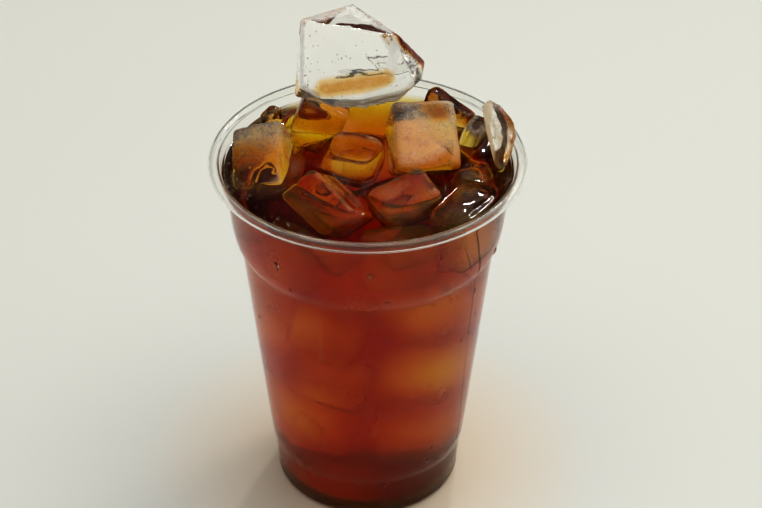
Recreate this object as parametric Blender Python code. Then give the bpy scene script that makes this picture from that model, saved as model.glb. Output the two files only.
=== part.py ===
# Iced black coffee in a clear thin-walled plastic cup, with ice cubes standing out of the drink.
# All sizes are in millimetres and are turned into metres when a mesh is made.
# +Z is up, the cup stands on Z = 0 and its axis is the Z axis.
import bpy
import bmesh
import math
import numpy as np
from mathutils import Euler, Vector

MM = 0.001

# Cup
CUP_HEIGHT = 120.0
RIM_RADIUS = 49.0
WALL = 0.6
LIP_SECTION = 3.4
LIP_SHEET = 0.55
LIP_END_ANGLE = -75.0
LIP_STEPS = 6
FLOOR_TOP = 3.3
FLOOR_RECESS = 2.7
CUP_SEGMENTS = 44
# Outer wall from the foot up to just under the lip, as (radius, height).
OUTER_WALL = (
    (27.6, 0.0), (28.7, 0.5), (29.4, 1.4), (29.7, 3.0), (30.5, 13.8), (30.9, 15.0), (31.35, 15.9),
    (39.6, 89.6), (40.1, 90.5), (40.8, 91.6), (41.6, 93.9), (42.4, 98.0), (42.9, 102.0),
    (43.7, 109.0), (44.6, 116.2),
)
# Underside of the foot from the axis outwards: a raised middle and a flat ring to stand on.
FOOT_RING = ((23.6, FLOOR_RECESS), (25.2, 0.0))
# Inside of the floor from the axis outwards: a raised middle and a groove over the foot ring.
FLOOR_INSIDE = ((23.2, FLOOR_TOP), (25.0, 0.7), (27.3, 0.65), (28.3, 1.1), (28.8, 1.9))

# Drink
LEVEL = 114.8
CLEARANCE = 0.3
DRINK_SEGMENTS = 44

# Ice cubes: name -> centre, size, turn in degrees about X then Y then Z, and corner radius.
CUBES = {
    "ice_left": ((-30.8, 5.1, 109.6), (16.9, 24.7, 23.6), (25.8, -17.1, -6.5), 2.5),
    "ice_back_left": ((-30.3, 25.3, 114.6), (7.6, 4.8, 12.0), (2.7, -5.9, 54.6), 1.4),
    "ice_under_top": ((-16.5, 25.3, 113.6), (15.4, 12.4, 23.6), (1.7, 21.7, -8.1), 2.0),
    "ice_middle": ((-4.3, 9.7, 107.4), (16.6, 19.3, 19.8), (21.2, 0.6, -17.8), 4.0),
    "ice_frosted": ((17.0, 10.4, 116.9), (20.1, 23.1, 18.7), (33.6, 3.1, 8.1), 2.2),
    "ice_back_right": ((24.2, 29.8, 111.8), (18.2, 6.3, 19.8), (-9.4, 12.5, -41.6), 2.0),
    "ice_between": ((32.4, 17.0, 113.2), (6.2, 12.2, 16.4), (-2.5, 13.2, -22.5), 2.0),
    "ice_front_middle": ((11.4, -13.0, 108.0), (20.5, 14.5, 19.3), (10.5, -9.6, 29.1), 3.0),
    "ice_front_right": ((28.6, -18.5, 106.0), (20.7, 13.1, 20.0), (2.9, -2.5, 56.0), 3.5),
    "ice_right_low": ((31.9, -1.6, 109.4), (12.2, 7.4, 12.0), (12.3, 4.6, 26.9), 2.5),
    "ice_front_ridge": ((-12.3, -14.8, 107.8), (24.4, 15.4, 16.6), (37.9, 9.4, -54.7), 2.5),
}
# Grid lines along each half edge of a cube, as parts of the half edge.
CUBE_GRID = (-1.0, -0.88, -0.62, 0.62, 0.88, 1.0)

# Broken ice pieces: name -> corner points and corner radius.
SHARDS = {
    "ice_top": ((
        (-20.3, 17.3, 157.5), (9.5, 17.1, 152.0), (-4.9, 33.3, 154.0), (17.7, 22.9, 139.4),
        (7.3, 7.7, 143.9), (-20.3, 7.8, 140.6), (16.0, 17.3, 140.2), (-15.2, 8.1, 135.8),
        (-2.4, 7.1, 136.1), (11.1, 11.2, 136.7), (-10.1, 12.3, 129.6), (-1.2, 12.9, 128.8),
        (9.3, 15.2, 130.3), (16.8, 20.9, 134.8), (-12.0, 27.5, 133.0), (10.1, 28.0, 132.0),
        (-7.1, 24.6, 127.6), (6.9, 25.2, 128.9), (-22.6, 18.6, 130.0), (-20.8, 22.0, 129.6),
        (-19.6, 27.0, 150.5), (-19.6, 26.5, 136.0),
    ), 0.9),
    "ice_right_shell": ((
        (40.9, -1.6, 114.2), (40.2, 1.0, 112.6), (43.6, -0.8, 119.9), (45.6, 2.8, 124.4),
        (45.2, 7.1, 127.0), (40.6, 11.7, 130.6), (37.6, 13.6, 131.4), (35.6, 14.6, 129.6),
        (36.4, 10.6, 127.6), (38.2, 3.2, 119.4), (40.4, 1.6, 126.4), (41.6, 10.4, 122.4),
        (42.0, 5.0, 116.6),
    ), 0.9),
}
ROUND_STEPS = 8


def clear_scene():
    """Remove every object that is in the file at the start."""
    for old in list(bpy.data.objects):
        bpy.data.objects.remove(old, do_unlink=True)


def make_material(name, colour, roughness, transmission, ior):
    """Make a clear or tinted Principled material."""
    material = bpy.data.materials.new(name)
    material.use_nodes = True
    shader = material.node_tree.nodes["Principled BSDF"]
    shader.inputs["Base Color"].default_value = (*colour, 1.0)
    shader.inputs["Roughness"].default_value = roughness
    shader.inputs["Metallic"].default_value = 0.0
    shader.inputs["Transmission Weight"].default_value = transmission
    shader.inputs["IOR"].default_value = ior
    material.diffuse_color = (*colour, 1.0)
    return material


def add_object(name, bm, material, sharp_angle):
    """Turn a bmesh in millimetres into a named object in metres, shaded smooth with sharp edges kept."""
    bmesh.ops.scale(bm, vec=(MM, MM, MM), verts=bm.verts)
    bmesh.ops.recalc_face_normals(bm, faces=bm.faces)
    mesh = bpy.data.meshes.new(name)
    bm.to_mesh(mesh)
    bm.free()
    mesh.materials.append(material)
    mesh.shade_smooth()
    mesh.set_sharp_from_angle(angle=math.radians(sharp_angle))
    made = bpy.data.objects.new(name, mesh)
    bpy.context.scene.collection.objects.link(made)
    return made


def revolve(profile, segments):
    """Spin a closed outline of (radius, height) points around Z. Points on the axis become one vertex."""
    bm = bmesh.new()
    rings = []
    for radius, height in profile:
        if radius == 0.0:
            rings.append([bm.verts.new((0.0, 0.0, height))])
            continue
        angles = [2.0 * math.pi * step / segments for step in range(segments)]
        rings.append([bm.verts.new((radius * math.cos(a), radius * math.sin(a), height)) for a in angles])
    for low, high in zip(rings, rings[1:]):
        for step in range(segments):
            after = (step + 1) % segments
            corners = [low[step % len(low)], low[after % len(low)], high[after % len(high)], high[step % len(high)]]
            face = [vert for place, vert in enumerate(corners) if vert not in corners[:place]]
            bm.faces.new(face)
    return bm


def cup_profile():
    """Outline of the cup wall, floor and curled lip, from the axis inside round to the axis underneath."""
    outer_section = LIP_SECTION / 2.0
    inner_section = outer_section - LIP_SHEET
    centre = (RIM_RADIUS - outer_section, CUP_HEIGHT - outer_section)
    sweep = [180.0 + (LIP_END_ANGLE - 180.0) * step / LIP_STEPS for step in range(LIP_STEPS + 1)]
    outer_curl = []
    inner_curl = []
    for angle in sweep:
        along = math.cos(math.radians(angle))
        up = math.sin(math.radians(angle))
        outer_curl.append((centre[0] + outer_section * along, centre[1] + outer_section * up))
        inner_curl.append((centre[0] + inner_section * along, centre[1] + inner_section * up))
    inside = [(radius - WALL, height) for radius, height in OUTER_WALL[3:]]
    profile = [(0.0, FLOOR_TOP)]
    profile += FLOOR_INSIDE
    profile += inside
    profile += outer_curl
    profile += reversed(inner_curl)
    profile += reversed(OUTER_WALL)
    profile += reversed(FOOT_RING)
    profile.append((0.0, FLOOR_RECESS))
    return profile


def offset_outline(points, distance):
    """Move an outline sideways to its left by a set distance, with its corners kept sharp."""
    normals = []
    for start, end in zip(points, points[1:]):
        length = math.hypot(end[0] - start[0], end[1] - start[1])
        normals.append(((start[1] - end[1]) / length, (end[0] - start[0]) / length))
    moved = []
    for place, (radius, height) in enumerate(points):
        before = normals[max(place - 1, 0)]
        after = normals[min(place, len(normals) - 1)]
        reach = distance / (1.0 + before[0] * after[0] + before[1] * after[1])
        moved.append((radius + reach * (before[0] + after[0]), height + reach * (before[1] + after[1])))
    return moved


def drink_profile():
    """Outline of the drink, held clear of the floor and wall, up to its flat top."""
    inside = [(0.0, FLOOR_TOP)] + list(FLOOR_INSIDE) + [(r - WALL, h) for r, h in OUTER_WALL[3:]]
    clear = offset_outline(inside, CLEARANCE)
    under = [point for point in clear if point[1] < LEVEL]
    below, above = clear[len(under) - 1], clear[len(under)]
    share = (LEVEL - below[1]) / (above[1] - below[1])
    top_radius = below[0] + share * (above[0] - below[0])
    return under + [(top_radius, LEVEL), (0.0, LEVEL)]


def cube_mesh(centre, size, turn, radius, grow):
    """Make a box with rounded edges from a grid on its six sides, grown outwards by a set distance."""
    bm = bmesh.new()
    half = [side / 2.0 + grow for side in size]
    round_off = radius + grow
    turned = Euler([math.radians(angle) for angle in turn], "XYZ").to_matrix()
    found = {}
    last = len(CUBE_GRID) - 1

    def corner(index):
        if index in found:
            return found[index]
        point = Vector([CUBE_GRID[step] * reach for step, reach in zip(index, half)])
        inner = Vector([max(-(h - round_off), min(h - round_off, p)) for p, h in zip(point, half)])
        away = point - inner
        shaped = inner + away.normalized() * round_off
        found[index] = bm.verts.new(turned @ shaped + Vector(centre))
        return found[index]

    for axis in range(3):
        for side in (0, last):
            for first in range(last):
                for second in range(last):
                    ring = ((first, second), (first + 1, second), (first + 1, second + 1), (first, second + 1))
                    indices = [tuple(pair[:axis]) + (side,) + tuple(pair[axis:]) for pair in ring]
                    bm.faces.new([corner(index) for index in indices])
    return bm


def shard_mesh(points, radius, grow):
    """Make the smallest closed skin around small balls placed just inside the given corner points."""
    bm = bmesh.new()
    middle = np.mean(np.array(points), axis=0)
    ball = radius + grow
    for point in np.array(points):
        inward = middle - point
        centre = point + inward / np.linalg.norm(inward) * radius
        for ring in (-45.0, 0.0, 45.0):
            for step in range(ROUND_STEPS):
                tilt = math.radians(ring)
                spin = 2.0 * math.pi * step / ROUND_STEPS
                across = ball * math.cos(tilt)
                offset = (across * math.cos(spin), across * math.sin(spin), ball * math.sin(tilt))
                bm.verts.new(centre + np.array(offset))
    hull = bmesh.ops.convex_hull(bm, input=bm.verts, use_existing_faces=False)
    loose = [part for part in hull["geom_interior"] if isinstance(part, bmesh.types.BMVert)]
    bmesh.ops.delete(bm, geom=loose, context="VERTS")
    unused = [vert for vert in bm.verts if not vert.link_faces]
    bmesh.ops.delete(bm, geom=unused, context="VERTS")
    bmesh.ops.remove_doubles(bm, verts=bm.verts, dist=0.25)
    bmesh.ops.dissolve_limit(bm, angle_limit=math.radians(2.0), verts=bm.verts, edges=bm.edges)
    return bm


def ice_meshes(grow):
    """All ice pieces as (name, bmesh), grown outwards by a set distance."""
    cubes = [(name, cube_mesh(*shape, grow)) for name, shape in CUBES.items()]
    shards = [(name, shard_mesh(*shape, grow)) for name, shape in SHARDS.items()]
    return cubes + shards


def cut_pockets(drink, material):
    """Cut room for every ice piece that reaches into the drink."""
    for name, bm in ice_meshes(CLEARANCE):
        if min(vert.co.z for vert in bm.verts) > LEVEL:
            bm.free()
            continue
        cutter = add_object(name + "_room", bm, material, 180.0)
        cutter.hide_render = True
        cutter.display_type = "WIRE"
        cut = drink.modifiers.new(cutter.name, "BOOLEAN")
        cut.operation = "DIFFERENCE"
        cut.solver = "EXACT"
        cut.object = cutter


def main():
    clear_scene()
    plastic = make_material("clear_plastic", (0.93, 0.94, 0.93), 0.05, 1.0, 1.57)
    coffee = make_material("black_coffee", (0.16, 0.045, 0.01), 0.04, 0.6, 1.34)
    ice = make_material("clear_ice", (0.93, 0.95, 0.96), 0.08, 1.0, 1.31)
    add_object("cup", revolve(cup_profile(), CUP_SEGMENTS), plastic, 35.0)
    drink = add_object("coffee", revolve(drink_profile(), DRINK_SEGMENTS), coffee, 35.0)
    for name, bm in ice_meshes(0.0):
        add_object(name, bm, ice, 50.0)
    cut_pockets(drink, coffee)


main()
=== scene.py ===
# Iced black coffee in a clear plastic cup: builds the detailed cup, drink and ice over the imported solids.
# Lengths in the tables below are in millimetres; Blender's own units are metres.
import bpy
import bmesh
import math
import numpy as np
from bpy.props import FloatProperty, FloatVectorProperty, IntProperty, PointerProperty
from mathutils import Euler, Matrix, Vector, noise
from mathutils.bvhtree import BVHTree


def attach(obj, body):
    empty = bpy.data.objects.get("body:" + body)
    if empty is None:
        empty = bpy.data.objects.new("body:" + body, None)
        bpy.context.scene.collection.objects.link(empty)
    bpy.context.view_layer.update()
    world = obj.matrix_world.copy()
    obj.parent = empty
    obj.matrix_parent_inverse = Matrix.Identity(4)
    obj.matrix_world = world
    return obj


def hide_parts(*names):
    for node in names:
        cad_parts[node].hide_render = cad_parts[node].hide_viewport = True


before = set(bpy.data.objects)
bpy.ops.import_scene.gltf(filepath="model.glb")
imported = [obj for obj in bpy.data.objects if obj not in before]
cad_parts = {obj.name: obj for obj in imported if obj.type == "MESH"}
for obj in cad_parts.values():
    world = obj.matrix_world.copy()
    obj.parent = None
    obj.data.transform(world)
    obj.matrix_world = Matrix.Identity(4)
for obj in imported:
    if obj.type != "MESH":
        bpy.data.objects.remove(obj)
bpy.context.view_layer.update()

bl_info = {
    "name": "Iced coffee in a clear cup",
    "version": (1, 0, 0),
    "blender": (4, 5, 0),
    "location": "3D View > Sidebar > Iced coffee",
    "description": "Builds a clear plastic cup of iced black coffee with ice cubes",
    "category": "Object",
}

MM = 0.001

# Outer wall of the cup from the foot up to just under the lip, as (radius, height).
OUTER_WALL = (
    (27.6, 0.0), (28.7, 0.5), (29.4, 1.4), (29.7, 3.0), (30.5, 13.8), (30.9, 15.0), (31.35, 15.9),
    (39.45, 88.3), (39.5, 88.9), (39.9, 89.4), (39.9, 90.0), (40.1, 90.5), (40.8, 91.6), (41.6, 93.9),
    (42.4, 98.0), (42.9, 102.0), (43.7, 109.0), (44.6, 116.2),
)
# The inner wall follows the outer one from this point of it upwards.
INNER_WALL_START = 3
# Underside and inside of the floor from the axis outwards, as (radius, height).
FOOT_RING = ((10.0, 2.7), (22.0, 2.7), (23.6, 2.7), (25.2, 0.0))
FLOOR_INSIDE = ((10.0, 3.3), (22.0, 3.3), (23.2, 3.3), (25.0, 0.7), (27.3, 0.65), (28.3, 1.1), (28.8, 1.9))
LIP_START_ANGLE = 180.0
LIP_END_ANGLE = -75.0
LIP_STEPS = 16
AROUND = 176
# The foot's plastic is dull up to the first height and clear from the second.
DULL_FOOT = (3.6, 4.6)
# Faces deeper in the wall than this share of its thickness are its inner ones, which coffee wets.
INNER_SHARE = 0.6
# Share of each side that a corner's cut takes when an outline is rounded.
CORNER_CUT = 0.2
# Two places nearer than this count as one.
SAME_PLACE = 0.01

# Ice that stands out of the drink, each piece over its own solid. The first one stands clear of the coffee.
ICE_NODES = (
    "ice_top", "ice_left", "ice_back_left", "ice_under_top", "ice_middle", "ice_frosted",
    "ice_back_right", "ice_between", "ice_front_middle", "ice_front_right", "ice_right_low",
    "ice_front_ridge", "ice_right_shell",
)
# Ice wholly sunk in the drink: centre, size, and turn in degrees about X then Y then Z.
SUNK_CUBES = (
    ((-22, -28, 101), (18, 9, 16), (8, 2, -40)),
    ((9, -32, 104), (22, 11, 16), (5, 0, 8)),
    ((-1, -2, 83), (22, 22, 18), (28, 16, 24)),
    ((23, 8, 88), (21, 21, 20), (5, 24, 33)),
    ((-25, 4, 79), (19, 22, 19), (12, -6, -9)),
    ((-1, 25, 88), (25, 19, 19), (-24, 1, 1)),
    ((17, -20, 81), (23, 18, 20), (1, -15, 47)),
    ((-11, -23, 74), (21, 17, 20), (12, 14, -21)),
    ((13, 15, 64), (22, 22, 20), (24, 30, -12)),
    ((-17, 14, 56), (21, 21, 21), (-25, 40, 35)),
    ((17, -11, 52), (25, 20, 20), (-4, 8, -32)),
    ((-10, -15, 50), (20, 19, 19), (-14, 20, 15)),
    ((8, 16, 37), (23, 20, 18), (23, 1, 53)),
    ((-15, -2, 28), (22, 24, 20), (11, 10, 20)),
    ((14, -9, 26), (24, 21, 20), (16, -4, -10)),
    ((-18, -23, 33), (10, 4, 8), (10, 25, -35)),
)
SUNK_CORNER_RADIUS = 4.0
SUNK_GRID_STEPS = 12
SUNK_UNEVENNESS = 0.5

# The still surface of the coffee: width of its rings, and height and length of its ripples.
SURFACE_RING = 0.7
RIPPLE_HEIGHT = 0.06
RIPPLE_LENGTH = 6.0
# Near a corner of ice and wall the surface climbs at most this many times the usual climb.
MOST_CLIMB = 1.4
# The coffee's edges sharper than this angle, in degrees, stay sharp.
SHARP_ANGLE = 50.0

# Drops on the outside of the wall: angle round the cup in degrees, height, and half width.
DROPS = (
    (271, 105, 1.1), (278, 93.4, 1), (235.5, 93.4, 0.7), (261, 86, 0.5), (241.5, 28, 0.5),
    (307, 19, 0.8), (280, 12.6, 0.8), (340, 94, 1.1), (328, 83.5, 0.8), (317, 45, 0.6),
    (309.5, 24.5, 0.6), (267.5, 82, 0.35), (262.5, 75.5, 0.4), (230, 101.5, 1.2), (290, 60, 0.35),
    (248, 66, 0.4), (300, 88, 0.4), (322, 66, 0.5), (333, 72, 0.45), (255, 48, 0.35),
    (205, 70, 0.6), (150, 96, 0.9), (118, 60, 0.7), (80, 84, 0.8), (40, 52, 0.6),
    (15, 98, 0.9), (170, 34, 0.6), (60, 22, 0.6),
)
DROP_RINGS = 9
DROP_STRETCH = 1.3
DROP_BULGE = 0.35
# Trails of water on the outside of the wall: (angle, height, half width) from top to bottom.
TRAILS = (
    ((327, 89, 0.5), (327.5, 80, 0.35), (328.5, 66, 0.4), (330, 54, 0.3), (333, 38, 0.4),
     (335, 28, 0.3), (337, 18, 0.6)),
    ((318, 112, 0.8), (321, 107, 1.3), (322.5, 101, 0.8), (325, 97, 1.2), (326, 91.5, 0.7)),
    ((312, 109, 0.5), (315, 104, 0.9), (318.5, 97, 0.6)),
    ((247, 84, 0.3), (247.5, 74, 0.25), (248, 67, 0.4)),
    ((252, 62, 0.3), (251.5, 54, 0.25), (251, 46, 0.35)),
    ((100, 90, 0.5), (101, 70, 0.35), (103, 45, 0.5)),
)
TRAIL_BULGE = 0.14
TRAIL_TIP = 0.15
# How far a trail's tips reach past its ends, in half widths, above and below.
TRAIL_REACH = (0.4, 0.8)
# Foam along the wall: first and last angle in degrees, inner and outer radius, bubbles per square mm.
FOAM = (
    (158, 205, 38.5, 43.3, 0.35),
    (212, 236, 37.5, 42.6, 0.1),
    (20, 45, 40.5, 43.2, 0.2),
)
FOAM_LIFT = 0.5
FOAM_STEPS = 12
FOAM_BUBBLE = (0.15, 0.6)
FOAM_SPREAD = (-0.1, 0.2)
# Air bubbles in the ice: how many per square mm of skin, the smallest one, and how deep they lie.
ICE_BUBBLES = 0.025
SMALLEST_BUBBLE = 0.1
BUBBLE_DEPTHS = (0.8, 4.0)

# Broken ice has finer facets and shallower hollows than melted cubes, and its edges are less worn.
# The wear is the number of times that the edges are smoothed.
BROKEN_FACET = 0.65
BROKEN_MELT = 0.4
BROKEN_WEAR = 2
MELTED_WEAR = 4
# Spacing of the hollows and of the pits, coarse and fine.
HOLLOWS = (7.0, 2.4)
PITS = (2.3, 1.1)
# Frost and film fade in over this height above the coffee.
FADE_IN = 1.5
# A vertex this far above its neighbours lies on a sharp edge.
EDGE_LIFT = 0.05

# White frost left on the ice: node -> marks as (start, end, radius, strength).
FROST = {
    "ice_top": (
        ((9, 16.6, 151), (6.9, 8.6, 144.8), 2.2, 1.8),
        ((-6, 11, 131.5), (9, 13, 132.5), 5.5, 1.8),
        ((-19.5, 8.5, 139.5), (-16, 8.5, 136.5), 2.5, 0.9),
        ((-20.5, 16, 157), (-20.8, 8, 141), 1.8, 1.2),
        ((-17, 21, 156.5), (-6, 30, 155), 5, 0.9),
        ((-2, 27, 154.5), (8, 19.5, 152), 4, 0.9),
    ),
    "ice_left": (
        ((-38, 4, 119), (-26, 6, 122), 10, 0.9),
        ((-22.5, 14, 121), (-22.5, -3, 114.5), 2.6, 1.3),
    ),
    "ice_middle": (
        ((-3, 19, 117.5), (4, 12, 117), 4, 0.9),
        ((4, 12, 117), (4.5, 4, 114.5), 3, 0.8),
    ),
    "ice_frosted": (
        ((10, 2, 119), (22, 8, 128), 12, 0.9),
        ((27.5, 14, 126), (27.5, -1, 117), 3, 1.4),
        ((8, 18, 128), (26, 20, 128), 9, 1.2),
    ),
    "ice_front_middle": (((4, -16, 116.5), (9, -12, 118), 7, 0.4),),
    "ice_front_right": (((22, -24, 115), (36, -12, 116), 9, 0.4),),
    "ice_front_ridge": (((-14, -9, 118.5), (-4, -19, 117.5), 2.5, 0.8),),
    "ice_right_shell": (((37, 12, 130), (40.5, -1, 114.5), 2.6, 1.3),),
    "ice_under_top": (((-10, 22, 123), (-14, 20, 114), 1.4, 0.8),),
}
# Coffee that clings to the ice as a thin film, together with painted reflections of the coffee seen in the
# ice: node -> marks as (start, end, radius, strength).
FILM_AND_REFLECTION = {
    "ice_top": (
        ((11.5, 19.5, 150.5), (18.2, 23.5, 139.5), 4.6, 3),
        ((-13, 7.8, 139), (5, 7.3, 142.2), 4.2, 0.52),
        ((-21.5, 14, 136), (-22.6, 18.6, 130), 5, 0.35),
    ),
    "ice_left": (((-38, 0, 115), (-22, -1, 115), 10, 0.5),),
    "ice_frosted": (
        ((14, 16, 127), (22, 12, 127.5), 4.5, 0.4),
        ((8, 0, 115), (26, 0, 115), 6, 0.4),
    ),
    "ice_front_middle": (((4, -18, 116), (19, -10, 118), 13, 0.24),),
    "ice_front_right": (((20, -25, 115), (36, -12, 116), 12, 0.3),),
    "ice_front_ridge": (((-22, -6, 117), (-4, -22, 117), 13, 0.24),),
    "ice_under_top": (((-20, 22, 120), (-10, 20, 118), 9, 0.6),),
    "ice_middle": (((-8, 4, 115), (2, 4, 116), 8, 0.6),),
    "ice_right_shell": (((42.5, 2, 119), (43.5, 9, 127), 4, 0.7),),
    "ice_back_right": (((18, 34, 120), (30, 24, 120), 6, 0.8),),
    "ice_back_left": (((-32, 27, 119), (-28, 23, 118), 6, 0.35),),
}
# Chipped and pitted parts of the broken ice: node -> spots as (place, radius, depth of the pits).
CHIPS = {
    "ice_top": (
        ((-20.5, 16, 156), 4, 0.3), ((-20.6, 12.5, 149), 4.5, 0.3),
        ((-20.6, 9, 143), 4, 0.25), ((-21, 15, 135), 6, 0.25),
        ((-4.9, 33.3, 154), 5, 0.3), ((3, 26, 153), 4, 0.25),
        ((9.5, 17.5, 151.5), 2.5, 0.25), ((14, 20, 146), 3.5, 0.2),
        ((0, 16, 128.5), 11, 0.35), ((9, 17, 131), 8, 0.25),
        ((-8, 18, 128.5), 7, 0.25),
    ),
}

# The way to the middle of the soft window, as a direction.
WINDOW_WAY = (0.52, 0.32, 0.79)
# Lamps that give the glints and soften the shadow: name, place, size, watts and colour, in metres.
LAMPS = (
    ("right_window", (1.0, 1.0, 1.3), (0.5, 0.65), 3.0, "#FFFAF0"),
    ("left_fill", (-1.4, -0.6, 1.5), (0.9, 0.9), 1.0, "#F4F6FF"),
    ("back_glint", (0.3, 1.2, 1.2), (0.08, 0.12), 1.8, "#FFFFFF"),
)
LAMP_AIM = Vector((0.0, 0.0, 0.08))
FLOOR_HALF_WIDTH = 4.0
# The photo's view: its width and the column of the cup's axis in pixels, and the lens in pixels.
PHOTO_WIDTH = 762.0
AXIS_COLUMN = 367.8
LENS_PIXELS = 2481.3
SENSOR_WIDTH = 36.0
# The camera's tilt in degrees, its distance from the place it looks at, and that place.
CAMERA_TILT = 35.31
CAMERA_DISTANCE = 0.7814
CAMERA_AIM = Vector((0.0, 0.0, 0.0828))


def linear(hexcode):
    """Turn an sRGB hex colour into linear RGBA."""
    channels = [int(hexcode[place:place + 2], 16) / 255.0 for place in (1, 3, 5)]
    turned = [c / 12.92 if c <= 0.04045 else ((c + 0.055) / 1.055) ** 2.4 for c in channels]
    return (*turned, 1.0)


class CupSizes(bpy.types.PropertyGroup):
    """Sizes of the cup"""

    rim_width: FloatProperty(
        name="Rim width", description="Outer width of the lip", default=0.098, unit="LENGTH",
    )
    height: FloatProperty(
        name="Height", description="Height of the cup to the top of its lip", default=0.12, unit="LENGTH",
    )
    wall: FloatProperty(
        name="Wall", description="Thickness of the plastic", default=0.0006, unit="LENGTH",
    )
    lip_section: FloatProperty(
        name="Lip section", description="Thickness of the curled lip", default=0.0034, unit="LENGTH",
    )
    lip_sheet: FloatProperty(
        name="Lip sheet", description="Thickness of the sheet in the lip", default=0.00055, unit="LENGTH",
    )


class DrinkSizes(bpy.types.PropertyGroup):
    """Sizes and colours of the drink"""

    level: FloatProperty(
        name="Level", description="Height of the coffee's surface", default=0.1148, unit="LENGTH",
    )
    into_wall: FloatProperty(
        name="Into wall", description="How far the coffee reaches into the plastic", default=0.00025,
        unit="LENGTH",
    )
    climb: FloatProperty(
        name="Climb", description="How far the surface climbs up the ice and the wall", default=0.001,
        unit="LENGTH",
    )
    climb_width: FloatProperty(
        name="Climb width", description="Width over which the surface climbs", default=0.0017,
        unit="LENGTH",
    )
    tint: FloatVectorProperty(
        name="Tint", description="Colour that a few millimetres of coffee let through", subtype="COLOR",
        size=3, default=(0.961, 0.836, 0.0), min=0.0, max=1.0,
    )
    strength: FloatProperty(
        name="Strength", description="How fast the coffee takes up light, per metre", default=350.0,
    )


class IceSizes(bpy.types.PropertyGroup):
    """Sizes of the ice"""

    facet: FloatProperty(
        name="Facet", description="Size of the smallest facets", default=0.0008, unit="LENGTH",
    )
    melt: FloatProperty(
        name="Melt", description="Depth of the hollows that melting leaves", default=0.00036,
        unit="LENGTH",
    )
    overlap: FloatProperty(
        name="Overlap", description="How far ice and coffee run into each other", default=0.0004,
        unit="LENGTH",
    )
    bubble: FloatProperty(
        name="Bubble", description="Largest air bubble in the ice", default=0.0003, unit="LENGTH",
    )
    seed: IntProperty(name="Seed", description="Seed for everything scattered", default=7)


def add_node(tree, kind, inputs=None, **settings):
    """Add a node, set its settings and its inputs, and link the inputs that are given a socket."""
    node = tree.nodes.new(kind)
    for key, value in settings.items():
        setattr(node, key, value)
    for key, value in (inputs or {}).items():
        if isinstance(value, bpy.types.NodeSocket):
            tree.links.new(value, node.inputs[key])
        else:
            node.inputs[key].default_value = value
    return node


def new_material(name):
    """Start an empty node material and give back its tree, output and object coordinates."""
    material = bpy.data.materials.new(name)
    material.use_nodes = True
    tree = material.node_tree
    tree.nodes.clear()
    output = tree.nodes.new("ShaderNodeOutputMaterial")
    place = tree.nodes.new("ShaderNodeTexCoord").outputs["Object"]
    return material, tree, output, place


def clear_pet():
    """Clear PET sheet, thermoformed: glossy, faintly wavy from the mould, hazy where coffee wets it."""
    material, tree, output, place = new_material("clear PET, thermoformed")
    waves = add_node(tree, "ShaderNodeTexNoise", {
        "Vector": place, "Scale": 1.0 / (9.0 * MM), "Detail": 2.0,
    })
    smudge = add_node(tree, "ShaderNodeTexNoise", {
        "Vector": place, "Scale": 1.0 / (14.0 * MM), "Detail": 5.0,
    })
    rough = add_node(tree, "ShaderNodeMapRange", {
        "Value": smudge.outputs["Fac"], "From Min": 0.45, "From Max": 0.75,
        "To Min": 0.015, "To Max": 0.07,
    })
    axes = add_node(tree, "ShaderNodeSeparateXYZ", {"Vector": place})
    foot = add_node(tree, "ShaderNodeMapRange", {
        "Value": axes.outputs["Z"], "From Min": DULL_FOOT[0] * MM, "From Max": DULL_FOOT[1] * MM,
        "To Min": 0.3, "To Max": 0.0,
    })
    wet = add_node(tree, "ShaderNodeAttribute", attribute_name="wet")
    mottle = add_node(tree, "ShaderNodeTexNoise", {
        "Vector": place, "Scale": 1.0 / (11.0 * MM), "Detail": 3.0,
    })
    haze = add_node(tree, "ShaderNodeMapRange", {
        "Value": mottle.outputs["Fac"], "To Min": 0.02, "To Max": 0.36,
    })
    film = add_node(tree, "ShaderNodeMath", {
        0: wet.outputs["Fac"], 1: haze.outputs["Result"],
    }, operation="MULTIPLY")
    dull = add_node(tree, "ShaderNodeMath", {
        0: foot.outputs["Result"], 1: film.outputs["Value"],
    }, operation="MAXIMUM")
    worn = add_node(tree, "ShaderNodeMath", {
        0: rough.outputs["Result"], 1: dull.outputs["Value"],
    }, operation="ADD")
    bump = add_node(tree, "ShaderNodeBump", {
        "Height": waves.outputs["Fac"], "Strength": 0.12, "Distance": 0.3 * MM,
    })
    shader = add_node(tree, "ShaderNodeBsdfPrincipled", {
        "Base Color": linear("#FCFCFA"), "Roughness": worn.outputs["Value"], "IOR": 1.57,
        "Specular Tint": linear("#898989"), "Transmission Weight": 1.0, "Normal": bump.outputs["Normal"],
    })
    tree.links.new(shader.outputs["BSDF"], output.inputs["Surface"])
    return material


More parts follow.
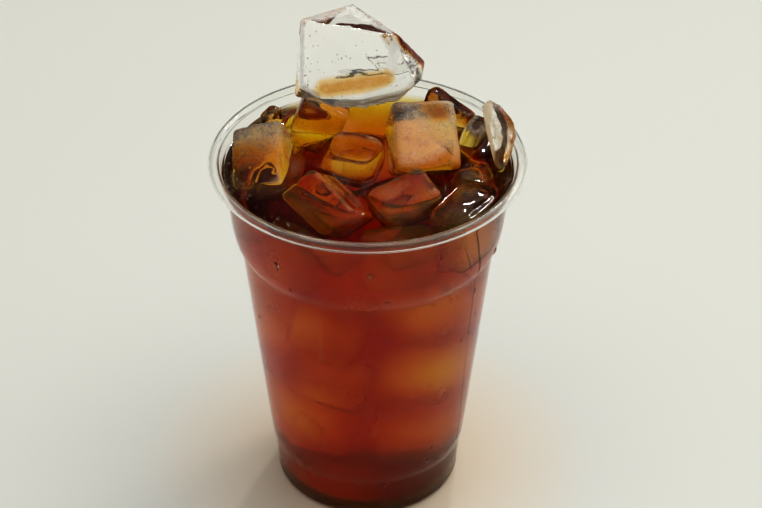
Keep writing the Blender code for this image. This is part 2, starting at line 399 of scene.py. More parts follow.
def black_coffee(drink):
    """Black coffee: clear dark liquid with slight ripples, amber when thin and red-brown when deep."""
    material, tree, output, place = new_material("black coffee")
    mottle = add_node(tree, "ShaderNodeTexNoise", {
        "Vector": place, "Scale": 1.0 / (11.0 * MM), "Detail": 3.0,
    })
    rough = add_node(tree, "ShaderNodeMapRange", {
        "Value": mottle.outputs["Fac"], "To Min": 0.008, "To Max": 0.02,
    })
    ripples = add_node(tree, "ShaderNodeTexNoise", {
        "Vector": place, "Scale": 1.0 / (6.0 * MM), "Detail": 1.0,
    })
    bump = add_node(tree, "ShaderNodeBump", {
        "Height": ripples.outputs["Fac"], "Strength": 0.25, "Distance": 0.3 * MM,
    })
    # Sunk ice bends the light where it meets the coffee, so the coffee itself hardly does there.
    against_ice = add_node(tree, "ShaderNodeAttribute", attribute_name="against_ice")
    bend = add_node(tree, "ShaderNodeMapRange", {
        "Value": against_ice.outputs["Fac"], "To Min": 1.335, "To Max": 1.0005,
    })
    shader = add_node(tree, "ShaderNodeBsdfPrincipled", {
        "Base Color": linear("#FFFFFF"), "Roughness": rough.outputs["Result"],
        "IOR": bend.outputs["Result"], "Specular Tint": linear("#959595"), "Transmission Weight": 1.0,
        "Normal": bump.outputs["Normal"],
    })
    body = add_node(tree, "ShaderNodeVolumeAbsorption", {
        "Color": (*drink.tint, 1.0), "Density": drink.strength,
    })
    tree.links.new(shader.outputs["BSDF"], output.inputs["Surface"])
    tree.links.new(body.outputs["Volume"], output.inputs["Volume"])
    return material


def wet_ice(level):
    """Ice from a machine, melting: clear and wet, with white grains where the frost is left."""
    material, tree, output, place = new_material("wet ice with frost")
    frost = add_node(tree, "ShaderNodeAttribute", attribute_name="frost")
    patches = add_node(tree, "ShaderNodeTexNoise", {
        "Vector": place, "Scale": 1.0 / (3.2 * MM), "Detail": 6.0, "Roughness": 0.7,
    })
    grains = add_node(tree, "ShaderNodeTexNoise", {
        "Vector": place, "Scale": 1.0 / (0.45 * MM), "Detail": 3.0,
    })
    broken = add_node(tree, "ShaderNodeMath", {
        0: frost.outputs["Fac"], 1: patches.outputs["Fac"],
    }, operation="MULTIPLY")
    mask = add_node(tree, "ShaderNodeMapRange", {
        "Value": broken.outputs["Value"], "From Min": 0.14, "From Max": 0.46,
    })
    speckle = add_node(tree, "ShaderNodeMapRange", {
        "Value": grains.outputs["Fac"], "From Min": 0.3, "From Max": 0.7, "To Min": 0.35,
    })
    white = add_node(tree, "ShaderNodeMath", {
        0: mask.outputs["Result"], 1: speckle.outputs["Result"],
    }, operation="MULTIPLY")
    axes = add_node(tree, "ShaderNodeSeparateXYZ", {"Vector": place})
    # Below the coffee's surface the ice is faintly cloudy.
    sunk = add_node(tree, "ShaderNodeMapRange", {
        "Value": axes.outputs["Z"], "From Min": level - 3.0 * MM, "From Max": level - 0.2 * MM,
        "To Min": 0.2, "To Max": 0.0,
    })
    cloud = add_node(tree, "ShaderNodeMath", {
        0: sunk.outputs["Result"], 1: patches.outputs["Fac"],
    }, operation="MULTIPLY")
    milky = add_node(tree, "ShaderNodeMath", {
        0: white.outputs["Value"], 1: cloud.outputs["Value"],
    }, operation="MAXIMUM")
    see_through = add_node(tree, "ShaderNodeMapRange", {
        "Value": milky.outputs["Value"], "To Min": 1.0, "To Max": 0.3,
    })
    rough = add_node(tree, "ShaderNodeMapRange", {
        "Value": mask.outputs["Result"], "To Min": 0.02, "To Max": 0.32,
    })
    # Frost near the coffee is painted amber for the light that comes up through the coffee, and frost high
    # above it is white.
    painted_glow_fade = add_node(tree, "ShaderNodeMapRange", {
        "Value": axes.outputs["Z"], "From Min": level + 9.2 * MM, "From Max": level + 25.2 * MM,
        "To Min": 1.0, "To Max": 0.0,
    })
    frost_painted_glow = add_node(tree, "ShaderNodeMix", {
        "Factor": painted_glow_fade.outputs["Result"], "A": linear("#FDFDFB"), "B": linear("#FFDAA0"),
    }, data_type="RGBA")
    skin = add_node(tree, "ShaderNodeMix", {
        "Factor": mask.outputs["Result"], "A": linear("#FDFDFB"), "B": frost_painted_glow.outputs["Result"],
    }, data_type="RGBA")
    # The film tints the ice partly with a real film of coffee and partly with painted reflections of the
    # coffee, from amber to dark red.
    film = add_node(tree, "ShaderNodeAttribute", attribute_name="film")
    streaks = add_node(tree, "ShaderNodeMapRange", {
        "Value": patches.outputs["Fac"], "From Min": 0.3, "From Max": 0.6, "To Min": 0.75, "To Max": 1.1,
    })
    film_and_reflection_depth = add_node(tree, "ShaderNodeMath", {
        0: film.outputs["Fac"], 1: streaks.outputs["Result"],
    }, operation="MULTIPLY")
    film_and_reflection_tint = add_node(tree, "ShaderNodeValToRGB", {"Fac": film_and_reflection_depth.outputs["Value"]})
    ramp = film_and_reflection_tint.color_ramp
    ramp.elements[0].color = linear("#FFFFFF")
    ramp.elements[1].color = linear("#560C02")
    for stop, colour in ((0.25, "#F0BE6A"), (0.5, "#CF7A26")):
        ramp.elements.new(stop).color = linear(colour)
    skin_with_film_and_glow = add_node(tree, "ShaderNodeMix", {
        "Factor": 1.0, "A": skin.outputs["Result"], "B": film_and_reflection_tint.outputs["Color"],
    }, data_type="RGBA", blend_type="MULTIPLY")
    dents = add_node(tree, "ShaderNodeTexNoise", {
        "Vector": place, "Scale": 1.0 / (0.9 * MM), "Detail": 4.0,
    })
    height = add_node(tree, "ShaderNodeMath", {
        0: dents.outputs["Fac"], 1: white.outputs["Value"],
    }, operation="ADD")
    bump = add_node(tree, "ShaderNodeBump", {
        "Height": height.outputs["Value"], "Strength": 0.12, "Distance": 0.05 * MM,
    })
    shader = add_node(tree, "ShaderNodeBsdfPrincipled", {
        "Base Color": skin_with_film_and_glow.outputs["Result"], "Roughness": rough.outputs["Result"], "IOR": 1.31,
        "Transmission Weight": see_through.outputs["Result"], "Normal": bump.outputs["Normal"],
    })
    tree.links.new(shader.outputs["BSDF"], output.inputs["Surface"])
    return material


def ice_in_coffee():
    """Ice under the coffee: dull skin, and an IOR against coffee, where ice hardly bends light."""
    material, tree, output, place = new_material("ice in coffee")
    skin = add_node(tree, "ShaderNodeTexNoise", {
        "Vector": place, "Scale": 1.0 / (5.0 * MM), "Detail": 4.0,
    })
    rough = add_node(tree, "ShaderNodeMapRange", {
        "Value": skin.outputs["Fac"], "To Min": 0.05, "To Max": 0.2,
    })
    bump = add_node(tree, "ShaderNodeBump", {
        "Height": skin.outputs["Fac"], "Strength": 0.4, "Distance": 0.5 * MM,
    })
    # The cream base colour is painted warm light from the coffee around the ice. The part that isn't
    # see-through is the ice's faint cloudiness.
    shader = add_node(tree, "ShaderNodeBsdfPrincipled", {
        "Base Color": linear("#FFF0DC"), "Roughness": rough.outputs["Result"], "IOR": 1.02,
        "Transmission Weight": 0.94, "Normal": bump.outputs["Normal"],
    })
    tree.links.new(shader.outputs["BSDF"], output.inputs["Surface"])
    return material


def air_in_ice():
    """Air trapped in ice: light bends the other way there, so the IOR is 1 / 1.31."""
    material, tree, output, place = new_material("air bubble in ice")
    grain = add_node(tree, "ShaderNodeTexNoise", {"Vector": place, "Scale": 1.0 / (0.6 * MM)})
    rough = add_node(tree, "ShaderNodeMapRange", {
        "Value": grain.outputs["Fac"], "To Min": 0.0, "To Max": 0.1,
    })
    shader = add_node(tree, "ShaderNodeBsdfGlass", {"Roughness": rough.outputs["Result"], "IOR": 0.763})
    tree.links.new(shader.outputs["BSDF"], output.inputs["Surface"])
    return material


def water_drop():
    """Condensed water and thin foam: clear, very smooth, slightly uneven."""
    material, tree, output, place = new_material("water")
    uneven = add_node(tree, "ShaderNodeTexNoise", {"Vector": place, "Scale": 1.0 / (1.5 * MM)})
    bump = add_node(tree, "ShaderNodeBump", {
        "Height": uneven.outputs["Fac"], "Strength": 0.1, "Distance": 0.1 * MM,
    })
    shader = add_node(tree, "ShaderNodeBsdfPrincipled", {
        "Base Color": linear("#FFFFFF"), "Roughness": 0.01, "IOR": 1.333, "Transmission Weight": 1.0,
        "Normal": bump.outputs["Normal"],
    })
    tree.links.new(shader.outputs["BSDF"], output.inputs["Surface"])
    return material


def pale_board():
    """Painted board: matt off-white and faintly uneven, with painted shade that darkens it a little far
    from the cup.
    """
    material, tree, output, place = new_material("painted board")
    cloud = add_node(tree, "ShaderNodeTexNoise", {
        "Vector": place, "Scale": 1.0 / (180.0 * MM), "Detail": 3.0,
    })
    away = add_node(tree, "ShaderNodeVectorMath", {0: place}, operation="LENGTH")
    # Painted shade: the board darkens a little with distance from the cup, where the light falls off.
    far = add_node(tree, "ShaderNodeMapRange", {
        "Value": away.outputs["Value"], "From Min": 0.12, "From Max": 0.75,
    })
    paint = add_node(tree, "ShaderNodeMix", {
        "Factor": cloud.outputs["Fac"], "A": linear("#E3E5E1"), "B": linear("#DFE1DC"),
    }, data_type="RGBA")
    painted_far_shade = add_node(tree, "ShaderNodeMix", {
        "Factor": far.outputs["Result"], "A": paint.outputs["Result"], "B": linear("#D2D3CB"),
    }, data_type="RGBA")
    # A warmer tone close to the cup stands in for the light that falls through the coffee.
    near = add_node(tree, "ShaderNodeMapRange", {
        "Value": away.outputs["Value"], "From Min": 0.03, "From Max": 0.075, "To Min": 1.0, "To Max": 0.0,
    })
    warm = add_node(tree, "ShaderNodeMix", {
        "Factor": near.outputs["Result"], "A": painted_far_shade.outputs["Result"], "B": linear("#EDDDC8"),
    }, data_type="RGBA")
    shader = add_node(tree, "ShaderNodeBsdfPrincipled", {
        "Base Color": warm.outputs["Result"], "Roughness": 0.55,
    })
    tree.links.new(shader.outputs["BSDF"], output.inputs["Surface"])
    return material


def add_piece(name, mesh, material, smooth=True):
    """Put a mesh in the scene as a piece at the origin."""
    mesh.name = name
    mesh.materials.clear()
    mesh.materials.append(material)
    if smooth:
        mesh.shade_smooth()
    piece = bpy.data.objects.new(name, mesh)
    bpy.context.scene.collection.objects.link(piece)
    return piece


def finish_piece(piece, node=None):
    """Tie a piece to the body and hide the solid that it stands for."""
    if not piece.data.polygons:
        raise RuntimeError(piece.name + " came out empty")
    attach(piece, "root")
    if node:
        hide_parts(node)


def mesh_from(bm, name):
    """Turn a bmesh into a mesh whose faces point outwards."""
    bmesh.ops.recalc_face_normals(bm, faces=bm.faces)
    mesh = bpy.data.meshes.new(name)
    bm.to_mesh(mesh)
    bm.free()
    return mesh


def evaluated_mesh(piece):
    """The piece's mesh with its modifiers worked in."""
    bpy.context.view_layer.update()
    graph = bpy.context.evaluated_depsgraph_get()
    return bpy.data.meshes.new_from_object(piece.evaluated_get(graph), depsgraph=graph)


def vertex_rows(mesh, label):
    """One row of three numbers for each vertex, such as its place or its normal."""
    rows = np.empty(len(mesh.vertices) * 3)
    mesh.vertices.foreach_get(label, rows)
    return rows.reshape(-1, 3)


def search_tree(mesh):
    """A tree that finds the nearest place on a mesh."""
    return BVHTree.FromPolygons([v.co for v in mesh.vertices], [p.vertices for p in mesh.polygons])


def round_corners(outline, passes):
    """Cut the corners of an open outline, keeping its two ends."""
    keep = 1.0 - CORNER_CUT
    points = [tuple(point) for point in outline]
    for _ in range(passes):
        cut = [points[0]]
        for start, end in zip(points, points[1:]):
            cut.append(tuple(keep * a + CORNER_CUT * b for a, b in zip(start, end)))
            cut.append(tuple(CORNER_CUT * a + keep * b for a, b in zip(start, end)))
        cut.append(points[-1])
        points = cut
    return points


def offset_outline(points, distance):
    """Move an outline sideways to its left by a set distance."""
    normals = []
    for start, end in zip(points, points[1:]):
        length = math.hypot(end[0] - start[0], end[1] - start[1])
        normals.append(((start[1] - end[1]) / length, (end[0] - start[0]) / length))
    moved = []
    for place, (radius, height) in enumerate(points):
        before = normals[max(place - 1, 0)]
        after = normals[min(place, len(normals) - 1)]
        reach = distance / (1.0 + before[0] * after[0] + before[1] * after[1])
        moved.append((radius + reach * (before[0] + after[0]), height + reach * (before[1] + after[1])))
    return moved


def revolve(outline, around):
    """Spin an outline of (radius, height) in millimetres round Z. Its two ends lie on the axis."""
    bm = bmesh.new()
    turns = [2.0 * math.pi * step / around for step in range(around)]
    rings = []
    for radius, height in outline:
        if radius < 1e-6:
            rings.append([bm.verts.new((0.0, 0.0, height * MM))])
            continue
        rings.append([
            bm.verts.new((radius * MM * math.cos(a), radius * MM * math.sin(a), height * MM)) for a in turns
        ])
    for low, high in zip(rings, rings[1:]):
        for step in range(around):
            after = (step + 1) % around
            corners = [
                low[step % len(low)], low[after % len(low)],
                high[after % len(high)], high[step % len(high)],
            ]
            bm.faces.new([vert for place, vert in enumerate(corners) if vert not in corners[:place]])
    return bm


def inside_outline(cup):
    """The cup's inner surface from the axis up to just under the lip."""
    wall = cup.wall / MM
    upright = [(radius - wall, height) for radius, height in OUTER_WALL[INNER_WALL_START:]]
    return [(0.0, FLOOR_INSIDE[0][1])] + list(FLOOR_INSIDE) + upright


def wall_radius(height):
    """Outer radius of the cup's wall at a height, both in millimetres."""
    return float(np.interp(height, [h for _, h in OUTER_WALL], [r for r, _ in OUTER_WALL]))


class CLEARCUP_OT_cup(bpy.types.Operator):
    """Build the clear cup with its floor, ledge and curled lip"""

    bl_idname = "iced_coffee.cup"
    bl_label = "Cup"

    def execute(self, context):
        cup = context.scene.cup_sizes
        section = cup.lip_section / MM / 2.0
        hollow = section - cup.lip_sheet / MM
        middle = (cup.rim_width / MM / 2.0 - section, cup.height / MM - section)
        turn = (LIP_END_ANGLE - LIP_START_ANGLE) / LIP_STEPS
        sweep = [math.radians(LIP_START_ANGLE + turn * step) for step in range(LIP_STEPS + 1)]
        curl = [(middle[0] + section * math.cos(a), middle[1] + section * math.sin(a)) for a in sweep]
        sweep.reverse()
        back = [(middle[0] + hollow * math.cos(a), middle[1] + hollow * math.sin(a)) for a in sweep]
        outline = inside_outline(cup) + curl + back + list(reversed(OUTER_WALL)) + list(reversed(FOOT_RING))
        outline.append((0.0, FOOT_RING[0][1]))
        mesh = mesh_from(revolve(round_corners(outline, 2), AROUND), "cup_clear")
        level = context.scene.drink_sizes.level
        wet = []
        for face in mesh.polygons:
            depth = wall_radius(face.center.z / MM) * MM - math.hypot(*face.center[:2])
            wet.append(float(face.center.z < level and depth > INNER_SHARE * cup.wall))
        mesh.attributes.new("wet", "FLOAT", "FACE").data.foreach_set("value", wet)
        finish_piece(add_piece("cup_clear", mesh, clear_pet()), "cup")
        return {"FINISHED"}


def nearness(places, start, end, radius):
    """How near each vertex is to the line between two places: 1 on the line, 0 at the radius."""
    start = np.array(start) * MM
    run = np.array(end) * MM - start
    along = np.clip((places - start) @ run / max(run @ run, 1e-12), 0.0, 1.0)
    away = np.linalg.norm(places - start - along[:, None] * run, axis=1)
    return np.clip(1.0 - away / (radius * MM), 0.0, 1.0)


def painted(places, marks, spread, base):
    """Paint marks of (start, end, radius, strength) over a base value for each vertex."""
    for start, end, radius, strength in marks:
        near = np.clip(spread * nearness(places, start, end, radius), 0.0, 1.0)
        base = np.maximum(base, strength * near)
    return base


def edge_measure(mesh, places, normals):
    """How sharply the surface bulges at each vertex, from 0 on flat faces to 1 on edges."""
    ends = np.empty(len(mesh.edges) * 2, dtype=np.int64)
    mesh.edges.foreach_get("vertices", ends)
    ends = ends.reshape(-1, 2)
    total = np.zeros_like(places)
    valence = np.zeros(len(places))
    for one, other in ((0, 1), (1, 0)):
        np.add.at(total, ends[:, one], places[ends[:, other]])
        np.add.at(valence, ends[:, one], 1.0)
    lift = np.einsum("ij,ij->i", places - total / valence[:, None], normals)
    return np.clip(lift / (EDGE_LIFT * MM), 0.0, 1.0)


def melted_copy(node, ice, level, material):
    """A fine copy of an ice solid with softened edges, shallow hollows, frost, and a film of coffee that
    also carries painted reflections of the coffee.
    """
    chipped = node in CHIPS
    bm = bmesh.new()
    bm.from_mesh(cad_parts[node].data)
    bmesh.ops.remove_doubles(bm, verts=bm.verts, dist=SAME_PLACE * MM)
    draft = add_piece(node + "_draft", mesh_from(bm, node + "_draft"), material)
    remesh = draft.modifiers.new("fine", "REMESH")
    remesh.mode = "VOXEL"
    remesh.voxel_size = ice.facet * (BROKEN_FACET if chipped else 1.0)
    soften = draft.modifiers.new("soften", "SMOOTH")
    soften.factor = 0.5
    soften.iterations = BROKEN_WEAR if chipped else MELTED_WEAR
    mesh = evaluated_mesh(draft)
    bpy.data.objects.remove(draft)
    places = vertex_rows(mesh, "co")
    normals = vertex_rows(mesh, "normal")
    above = np.clip((places[:, 2] - level) / (FADE_IN * MM), 0.0, 1.0)
    frost = painted(places, FROST.get(node, ()), 2.0, 0.5 * edge_measure(mesh, places, normals))
    # Film marks are partly a real film of coffee and partly painted reflections of the coffee.
    film = painted(places, FILM_AND_REFLECTION.get(node, ()), 1.4, np.zeros(len(places)))
    # The letters of the name shift the noise, so that no two pieces get the same hollows.
    offset = Vector([float(ord(letter)) for letter in node[-3:]])
    depth = np.empty(len(places))
    for index, place in enumerate(places):
        spot = Vector(place) / MM
        coarse, fine = [noise.noise(spot / spacing + offset) for spacing in HOLLOWS]
        depth[index] = coarse + 0.3 * fine
    depth *= ice.melt * (BROKEN_MELT if chipped else 1.0)
    for centre, radius, roughness in CHIPS.get(node, ()):
        near = nearness(places, centre, centre, radius)
        for index in np.flatnonzero(near > 0.0):
            spot = Vector(places[index]) / MM
            coarse, fine = [noise.noise(spot / spacing) for spacing in PITS]
            depth[index] += min(2.0 * near[index], 1.0) * roughness * MM * (fine + 0.6 * coarse)
    places = places + normals * depth[:, None]
    mesh.vertices.foreach_set("co", places.ravel())
    for label, values in (("frost", frost * above), ("film", film * above)):
        layer = mesh.attributes.new(label, "FLOAT", "POINT")
        layer.data.foreach_set("value", values.astype(np.float32))
    mesh.update()
    return mesh


class CLEARCUP_OT_ice(bpy.types.Operator):
    """Build the ice that stands out of the coffee"""

    bl_idname = "iced_coffee.ice"
    bl_label = "Ice"

    def execute(self, context):
        level = context.scene.drink_sizes.level
        material = wet_ice(level)
        for node in ICE_NODES:
            mesh = melted_copy(node, context.scene.ice_sizes, level, material)
            finish_piece(add_piece(node + "_wet", mesh, material), node)
        return {"FINISHED"}


def worn_cube(bm, centre, size, turn):
    """Add a melted cube, given in millimetres, to a bmesh."""
    steps = SUNK_GRID_STEPS
    rounding = min(SUNK_CORNER_RADIUS, 0.45 * min(size))
    grid = [math.sin(0.5 * math.pi * (2.0 * step / steps - 1.0)) for step in range(steps + 1)]
    turned = Euler([math.radians(angle) for angle in turn], "XYZ").to_matrix()
    half = [side / 2.0 for side in size]
    found = {}

    def corner(index):
        if index not in found:
            point = Vector([grid[step] * reach for step, reach in zip(index, half)])
            inner = Vector([max(-(h - rounding), min(h - rounding, p)) for p, h in zip(point, half)])
            away = (point - inner).normalized()
            shaped = turned @ (inner + away * rounding) + Vector(centre)
            shaped += (turned @ away) * SUNK_UNEVENNESS * noise.noise(shaped / 6.0)
            found[index] = bm.verts.new(shaped * MM)
        return found[index]

    for axis in range(3):
        for side in (0, steps):
            for first in range(steps):
                for second in range(steps):
                    pairs = (
                        (first, second), (first + 1, second),
                        (first + 1, second + 1), (first, second + 1),
                    )
                    bm.faces.new([corner(pair[:axis] + (side,) + pair[axis:]) for pair in pairs])


class CLEARCUP_OT_sunk_ice(bpy.types.Operator):
    """Build the ice cubes that are wholly sunk in the coffee"""

    bl_idname = "iced_coffee.sunk_ice"
    bl_label = "Sunk ice"

    def execute(self, context):
        bm = bmesh.new()
        for centre, size, turn in SUNK_CUBES:
            worn_cube(bm, centre, size, turn)
        mesh = mesh_from(bm, "sunk_ice")
        finish_piece(add_piece("sunk_ice", mesh, ice_in_coffee()))
        return {"FINISHED"}


def shrunk_into(bm, mesh, distance):
    """Add a mesh to a bmesh with its skin moved inwards by a set distance."""
    copy = mesh.copy()
    places = vertex_rows(mesh, "co") - vertex_rows(mesh, "normal") * distance
    copy.vertices.foreach_set("co", places.ravel())
    bm.from_mesh(copy)
    bpy.data.meshes.remove(copy)


def mark_rooms(mesh, sunk, distance):
    """Mark the coffee's faces that lie against sunk ice."""
    # The skin of a cube's room lies one overlap inside the cube, which tells it from all other faces.
    tree = search_tree(sunk)
    against = []
    for face in mesh.polygons:
        place, normal, _, _ = tree.find_nearest(face.center, 3.0 * distance)
        against.append(float(place is not None and (face.center - place).dot(normal) < -0.5 * distance))
    layer = mesh.attributes.new("against_ice", "FLOAT", "FACE")
    layer.data.foreach_set("value", against)


class CLEARCUP_OT_coffee(bpy.types.Operator):
    """Build the coffee, with a surface that climbs the ice and the wall, and room for all ice"""

    bl_idname = "iced_coffee.coffee"
    bl_label = "Coffee"

    def execute(self, context):
        drink = context.scene.drink_sizes
        ice = context.scene.ice_sizes
        dipped = [bpy.data.objects[node + "_wet"].data for node in ICE_NODES[1:]]
        sunk = bpy.data.objects["sunk_ice"].data
        bm, top_radius = self.still_drink(context.scene.cup_sizes, drink)
        self.climb(bm, drink, top_radius, [search_tree(mesh) for mesh in dipped])
        body = add_piece("coffee_body", mesh_from(bm, "coffee_body"), black_coffee(drink))
        rooms = bmesh.new()
        for mesh in (*dipped, sunk):
            shrunk_into(rooms, mesh, ice.overlap)
        room = bpy.data.objects.new("room", mesh_from(rooms, "room"))
        context.scene.collection.objects.link(room)
        cut = body.modifiers.new("room", "BOOLEAN")
        cut.operation = "DIFFERENCE"
        cut.solver = "MANIFOLD"
        cut.object = room
        mesh = evaluated_mesh(body)
        body.modifiers.remove(cut)
        body.data = mesh
        mesh.shade_smooth()
        mesh.set_sharp_from_angle(angle=math.radians(SHARP_ANGLE))
        mark_rooms(mesh, sunk, ice.overlap)
        bpy.data.objects.remove(room)
        finish_piece(body, "coffee")
        return {"FINISHED"}

    def still_drink(self, cup, drink):
        """The drink with a flat surface, and the radius of that surface in metres."""
        level = drink.level / MM
        wall = offset_outline(round_corners(inside_outline(cup), 2), -drink.into_wall / MM)
        under = [(0.0, wall[0][1])] + [point for point in wall[1:] if point[1] < level - 0.5]
        upper = [point for point in wall if point[1] > level / 2.0]
        top_radius = float(np.interp(level, [h for _, h in upper], [r for r, _ in upper]))
        rings = int(top_radius / SURFACE_RING)
        surface = [(top_radius * (rings - step) / rings, level) for step in range(rings + 1)]
        return revolve(under + surface, AROUND), top_radius * MM

    def climb(self, bm, drink, top_radius, trees):
        """Lift the surface where it meets the ice and the wall, and ripple it."""
        for vert in bm.verts:
            if vert.co.z < drink.level - SAME_PLACE * MM:
                continue
            from_ice = min(tree.find_nearest(vert.co)[3] for tree in trees)
            from_wall = top_radius - Vector((vert.co.x, vert.co.y)).length
            rise = sum(math.exp(-away / drink.climb_width) for away in (from_ice, from_wall))
            wave = noise.noise(vert.co / (RIPPLE_LENGTH * MM))
            vert.co.z += drink.climb * min(rise, MOST_CLIMB) + RIPPLE_HEIGHT * MM * wave


def bead_tree(name, material):
    """Geometry nodes that scatter small beads on or under a surface."""
    tree = bpy.data.node_groups.new(name, "GeometryNodeTree")
    face = tree.interface
    face.new_socket("Surface", in_out="INPUT", socket_type="NodeSocketGeometry")
    for label in ("Density", "Smallest", "Largest", "Shallowest", "Deepest"):
        face.new_socket(label, in_out="INPUT", socket_type="NodeSocketFloat")
    face.new_socket("Seed", in_out="INPUT", socket_type="NodeSocketInt")
    face.new_socket("Beads", in_out="OUTPUT", socket_type="NodeSocketGeometry")
    given = tree.nodes.new("NodeGroupInput").outputs
    points = add_node(tree, "GeometryNodeDistributePointsOnFaces", {
        "Mesh": given["Surface"], "Density": given["Density"], "Seed": given["Seed"],
    })
    depth = add_node(tree, "FunctionNodeRandomValue", {
        2: given["Shallowest"], 3: given["Deepest"], "Seed": given["Seed"],
    })
    inward = add_node(tree, "ShaderNodeVectorMath", {
        0: points.outputs["Normal"], 3: depth.outputs[1],
    }, operation="SCALE")
    placed = add_node(tree, "GeometryNodeSetPosition", {
        "Geometry": points.outputs["Points"], "Offset": inward.outputs["Vector"],
    })
    other_seed = add_node(tree, "ShaderNodeMath", {0: given["Seed"], 1: 11.0}, operation="ADD")
    size = add_node(tree, "FunctionNodeRandomValue", {
        2: given["Smallest"], 3: given["Largest"], "Seed": other_seed.outputs["Value"],
    })
    ball = add_node(tree, "GeometryNodeMeshIcoSphere", {"Radius": 1.0, "Subdivisions": 2})
    beads = add_node(tree, "GeometryNodeInstanceOnPoints", {
        "Points": placed.outputs["Geometry"], "Instance": ball.outputs["Mesh"], "Scale": size.outputs[1],
    })
    solid = add_node(tree, "GeometryNodeRealizeInstances", {"Geometry": beads.outputs["Instances"]})
    dressed = add_node(tree, "GeometryNodeSetMaterial", {
        "Geometry": solid.outputs["Geometry"], "Material": material,
    })
    result = tree.nodes.new("NodeGroupOutput")
    tree.links.new(dressed.outputs["Geometry"], result.inputs["Beads"])
    return tree


def scatter(name, surface, material, values):
    """Scatter beads over a surface mesh and give back the plain piece."""
    carrier = bpy.data.objects.new(name + "_carrier", surface)
    bpy.context.scene.collection.objects.link(carrier)
    tree = bead_tree(name, material)
    holder = carrier.modifiers.new(name, "NODES")
    holder.node_group = tree
    for socket in tree.interface.items_tree:
        if socket.in_out == "INPUT" and socket.name in values:
            holder[socket.identifier] = values[socket.name]
    mesh = evaluated_mesh(carrier)
    bpy.data.objects.remove(carrier)
    return add_piece(name, mesh, material)


class CLEARCUP_OT_bubbles(bpy.types.Operator):
    """Scatter air bubbles in the ice"""

    bl_idname = "iced_coffee.bubbles"
    bl_label = "Bubbles"

    def execute(self, context):
        ice = context.scene.ice_sizes
        bm = bmesh.new()
        for node in ICE_NODES:
            bm.from_mesh(bpy.data.objects[node + "_wet"].data)
        mesh = bpy.data.meshes.new("ice_skins")
        bm.to_mesh(mesh)
        bm.free()
        piece = scatter("ice_bubbles", mesh, air_in_ice(), {
            "Density": ICE_BUBBLES / (MM * MM), "Smallest": SMALLEST_BUBBLE * MM, "Largest": ice.bubble,
            "Shallowest": -BUBBLE_DEPTHS[0] * MM, "Deepest": -BUBBLE_DEPTHS[1] * MM, "Seed": ice.seed,
        })
        finish_piece(piece)
        return {"FINISHED"}


class CLEARCUP_OT_foam(bpy.types.Operator):
    """Scatter small foam bubbles where the coffee meets the wall"""

    bl_idname = "iced_coffee.foam"
    bl_label = "Foam"

    def execute(self, context):
        height = context.scene.drink_sizes.level / MM + FOAM_LIFT
        for number, (first, last, inner, outer, density) in enumerate(FOAM):
            bm = bmesh.new()
            turns = [
                math.radians(first + (last - first) * step / FOAM_STEPS) for step in range(FOAM_STEPS + 1)
            ]
            near, far = [
                [bm.verts.new(Vector((r * math.cos(a), r * math.sin(a), height)) * MM) for a in turns]
                for r in (inner, outer)
            ]
            for step in range(FOAM_STEPS):
                bm.faces.new((near[step], far[step], far[step + 1], near[step + 1]))
            band = bpy.data.meshes.new("foam_band")
            bm.to_mesh(band)
            bm.free()
            piece = scatter("foam_%d" % number, band, water_drop(), {
                "Density": density / (MM * MM),
                "Smallest": FOAM_BUBBLE[0] * MM, "Largest": FOAM_BUBBLE[1] * MM,
                "Shallowest": FOAM_SPREAD[0] * MM, "Deepest": FOAM_SPREAD[1] * MM,
                "Seed": context.scene.ice_sizes.seed + number,
            })
            finish_piece(piece)
        return {"FINISHED"}


def wall_place(angle, height, out, aside):
    """A place on the outside of the wall, moved outwards and sideways, in metres."""
    radius = wall_radius(height) + out
    turn = math.radians(angle) + aside / radius
    return Vector((radius * math.cos(turn), radius * math.sin(turn), height)) * MM


def wall_bead(bm, trail, bulge, sides=12):
    """Add a closed bead of water, thin at its edges, that follows (angle, height, half width)."""
    turns = [2.0 * math.pi * step / sides for step in range(sides)]
    rings = []
    for angle, height, width in trail:
        lens = [(bulge * math.sin(a) * abs(math.sin(a)), math.cos(a)) for a in turns]
        rings.append([
            bm.verts.new(wall_place(angle, height, width * out, width * aside)) for out, aside in lens
        ])
    for upper, lower in zip(rings, rings[1:]):
        for step in range(sides):
            after = (step + 1) % sides
            bm.faces.new((upper[step], upper[after], lower[after], lower[step]))
    bm.faces.new(rings[0])
    bm.faces.new(list(reversed(rings[-1])))


class CLEARCUP_OT_water(bpy.types.Operator):
    """Put condensed drops and trails on the outside of the cup"""

    bl_idname = "iced_coffee.water"
    bl_label = "Water"

    def execute(self, context):
        bm = bmesh.new()
        arc = [math.pi * (step + 0.5) / DROP_RINGS for step in range(DROP_RINGS)]
        for angle, height, size in DROPS:
            rings = [(angle, height + DROP_STRETCH * size * math.cos(a), size * math.sin(a)) for a in arc]
            wall_bead(bm, rings, DROP_BULGE)
        for trail in TRAILS:
            first, last = trail[0], trail[-1]
            start = [(first[0], first[1] + TRAIL_REACH[0] * first[2], TRAIL_TIP)]
            end = [(last[0], last[1] - TRAIL_REACH[1] * last[2], TRAIL_TIP)]
            wall_bead(bm, start + round_corners(trail, 3) + end, TRAIL_BULGE)
        finish_piece(add_piece("wall_drops", mesh_from(bm, "wall_drops"), water_drop()))
        return {"FINISHED"}


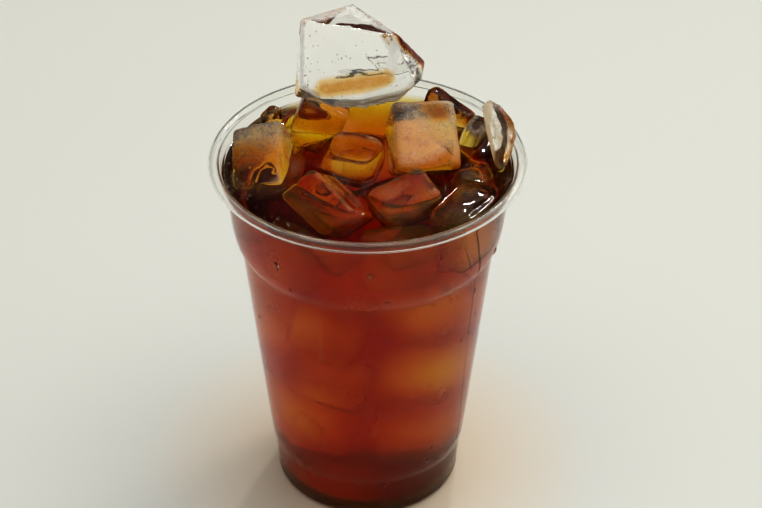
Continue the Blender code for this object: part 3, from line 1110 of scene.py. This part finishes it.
def light_room(tree):
    """A room that is dim all round and bright above, with a soft window high at the back right."""
    way = add_node(tree, "ShaderNodeTexCoord").outputs["Generated"]
    axes = add_node(tree, "ShaderNodeSeparateXYZ", {"Vector": way})
    room = add_node(tree, "ShaderNodeMapRange", {
        "Value": axes.outputs["Z"], "From Min": 0.50, "From Max": 0.95, "To Min": 0.085, "To Max": 0.84,
    })
    facing = add_node(tree, "ShaderNodeVectorMath", {0: way, 1: WINDOW_WAY}, operation="DOT_PRODUCT")
    window = add_node(tree, "ShaderNodeMapRange", {
        "Value": facing.outputs["Value"], "From Min": 0.66, "From Max": 0.95,
        "To Min": 0.0, "To Max": 0.84,
    }, interpolation_type="SMOOTHSTEP")
    total = add_node(tree, "ShaderNodeMath", {
        0: room.outputs["Result"], 1: window.outputs["Result"],
    }, operation="ADD")
    background = tree.nodes["Background"]
    background.inputs["Color"].default_value = linear("#F5F3EE")
    tree.links.new(total.outputs["Value"], background.inputs["Strength"])


def add_lamp(scene, name, place, size, watts, colour):
    """Add a soft lamp that faces the cup and isn't seen through the clear parts."""
    light = bpy.data.lights.new(name, "AREA")
    light.shape = "RECTANGLE"
    light.size, light.size_y = size
    light.energy = watts
    light.color = linear(colour)[:3]
    lamp = bpy.data.objects.new(name, light)
    scene.collection.objects.link(lamp)
    lamp.location = place
    lamp.visible_transmission = False
    lamp.rotation_euler = (LAMP_AIM - Vector(place)).to_track_quat("-Z", "Y").to_euler()


def add_camera(scene):
    """Add the camera with the photo's view."""
    lens = bpy.data.cameras.new("camera")
    lens.sensor_width = SENSOR_WIDTH
    lens.lens = SENSOR_WIDTH * LENS_PIXELS / PHOTO_WIDTH
    lens.shift_x = (PHOTO_WIDTH / 2.0 - AXIS_COLUMN) / PHOTO_WIDTH
    camera = bpy.data.objects.new("camera", lens)
    scene.collection.objects.link(camera)
    tilt = math.radians(CAMERA_TILT)
    away = Vector((0.0, -math.cos(tilt), math.sin(tilt)))
    camera.location = CAMERA_AIM + away * CAMERA_DISTANCE
    camera.rotation_euler = (-away).to_track_quat("-Z", "Y").to_euler()
    scene.camera = camera


class CLEARCUP_OT_studio(bpy.types.Operator):
    """Set up the pale floor, the soft light and the camera"""

    bl_idname = "iced_coffee.studio"
    bl_label = "Studio"

    def execute(self, context):
        scene = context.scene
        bm = bmesh.new()
        bmesh.ops.create_grid(bm, x_segments=8, y_segments=8, size=FLOOR_HALF_WIDTH)
        add_piece("floor", mesh_from(bm, "floor"), pale_board(), smooth=False)
        for lamp in LAMPS:
            add_lamp(scene, *lamp)
        world = bpy.data.worlds.new("soft light")
        world.use_nodes = True
        light_room(world.node_tree)
        scene.world = world
        add_camera(scene)
        scene.view_settings.view_transform = "Standard"
        scene.view_settings.look = "High Contrast"
        scene.cycles.use_denoising = True
        scene.cycles.max_bounces = 28
        scene.cycles.transmission_bounces = 28
        scene.cycles.glossy_bounces = 6
        scene.cycles.diffuse_bounces = 4
        scene.cycles.caustics_refractive = True
        scene.cycles.blur_glossy = 0.5
        return {"FINISHED"}


class CLEARCUP_PT_panel(bpy.types.Panel):
    """Shows the sizes and lists the steps"""

    bl_idname = "CLEARCUP_PT_panel"
    bl_label = "Iced coffee"
    bl_space_type = "VIEW_3D"
    bl_region_type = "UI"
    bl_category = "Iced coffee"

    def draw(self, context):
        for group in (context.scene.cup_sizes, context.scene.drink_sizes, context.scene.ice_sizes):
            for prop in group.bl_rna.properties:
                if prop.identifier not in {"rna_type", "name"}:
                    self.layout.prop(group, prop.identifier)
        for step in STEPS:
            self.layout.operator(step.bl_idname)


STEPS = (
    CLEARCUP_OT_cup, CLEARCUP_OT_ice, CLEARCUP_OT_sunk_ice, CLEARCUP_OT_coffee, CLEARCUP_OT_bubbles,
    CLEARCUP_OT_foam, CLEARCUP_OT_water, CLEARCUP_OT_studio,
)
GROUPS = {"cup_sizes": CupSizes, "drink_sizes": DrinkSizes, "ice_sizes": IceSizes}


def register():
    for name, group in GROUPS.items():
        bpy.utils.register_class(group)
        setattr(bpy.types.Scene, name, PointerProperty(type=group))
    for item in (*STEPS, CLEARCUP_PT_panel):
        bpy.utils.register_class(item)


def unregister():
    for item in (CLEARCUP_PT_panel, *reversed(STEPS)):
        bpy.utils.unregister_class(item)
    for name, group in GROUPS.items():
        delattr(bpy.types.Scene, name)
        bpy.utils.unregister_class(group)


def main():
    register()
    bpy.ops.iced_coffee.cup()
    bpy.ops.iced_coffee.ice()
    bpy.ops.iced_coffee.sunk_ice()
    bpy.ops.iced_coffee.coffee()
    bpy.ops.iced_coffee.bubbles()
    bpy.ops.iced_coffee.foam()
    bpy.ops.iced_coffee.water()
    bpy.ops.iced_coffee.studio()


if __name__ == "__main__":
    main()
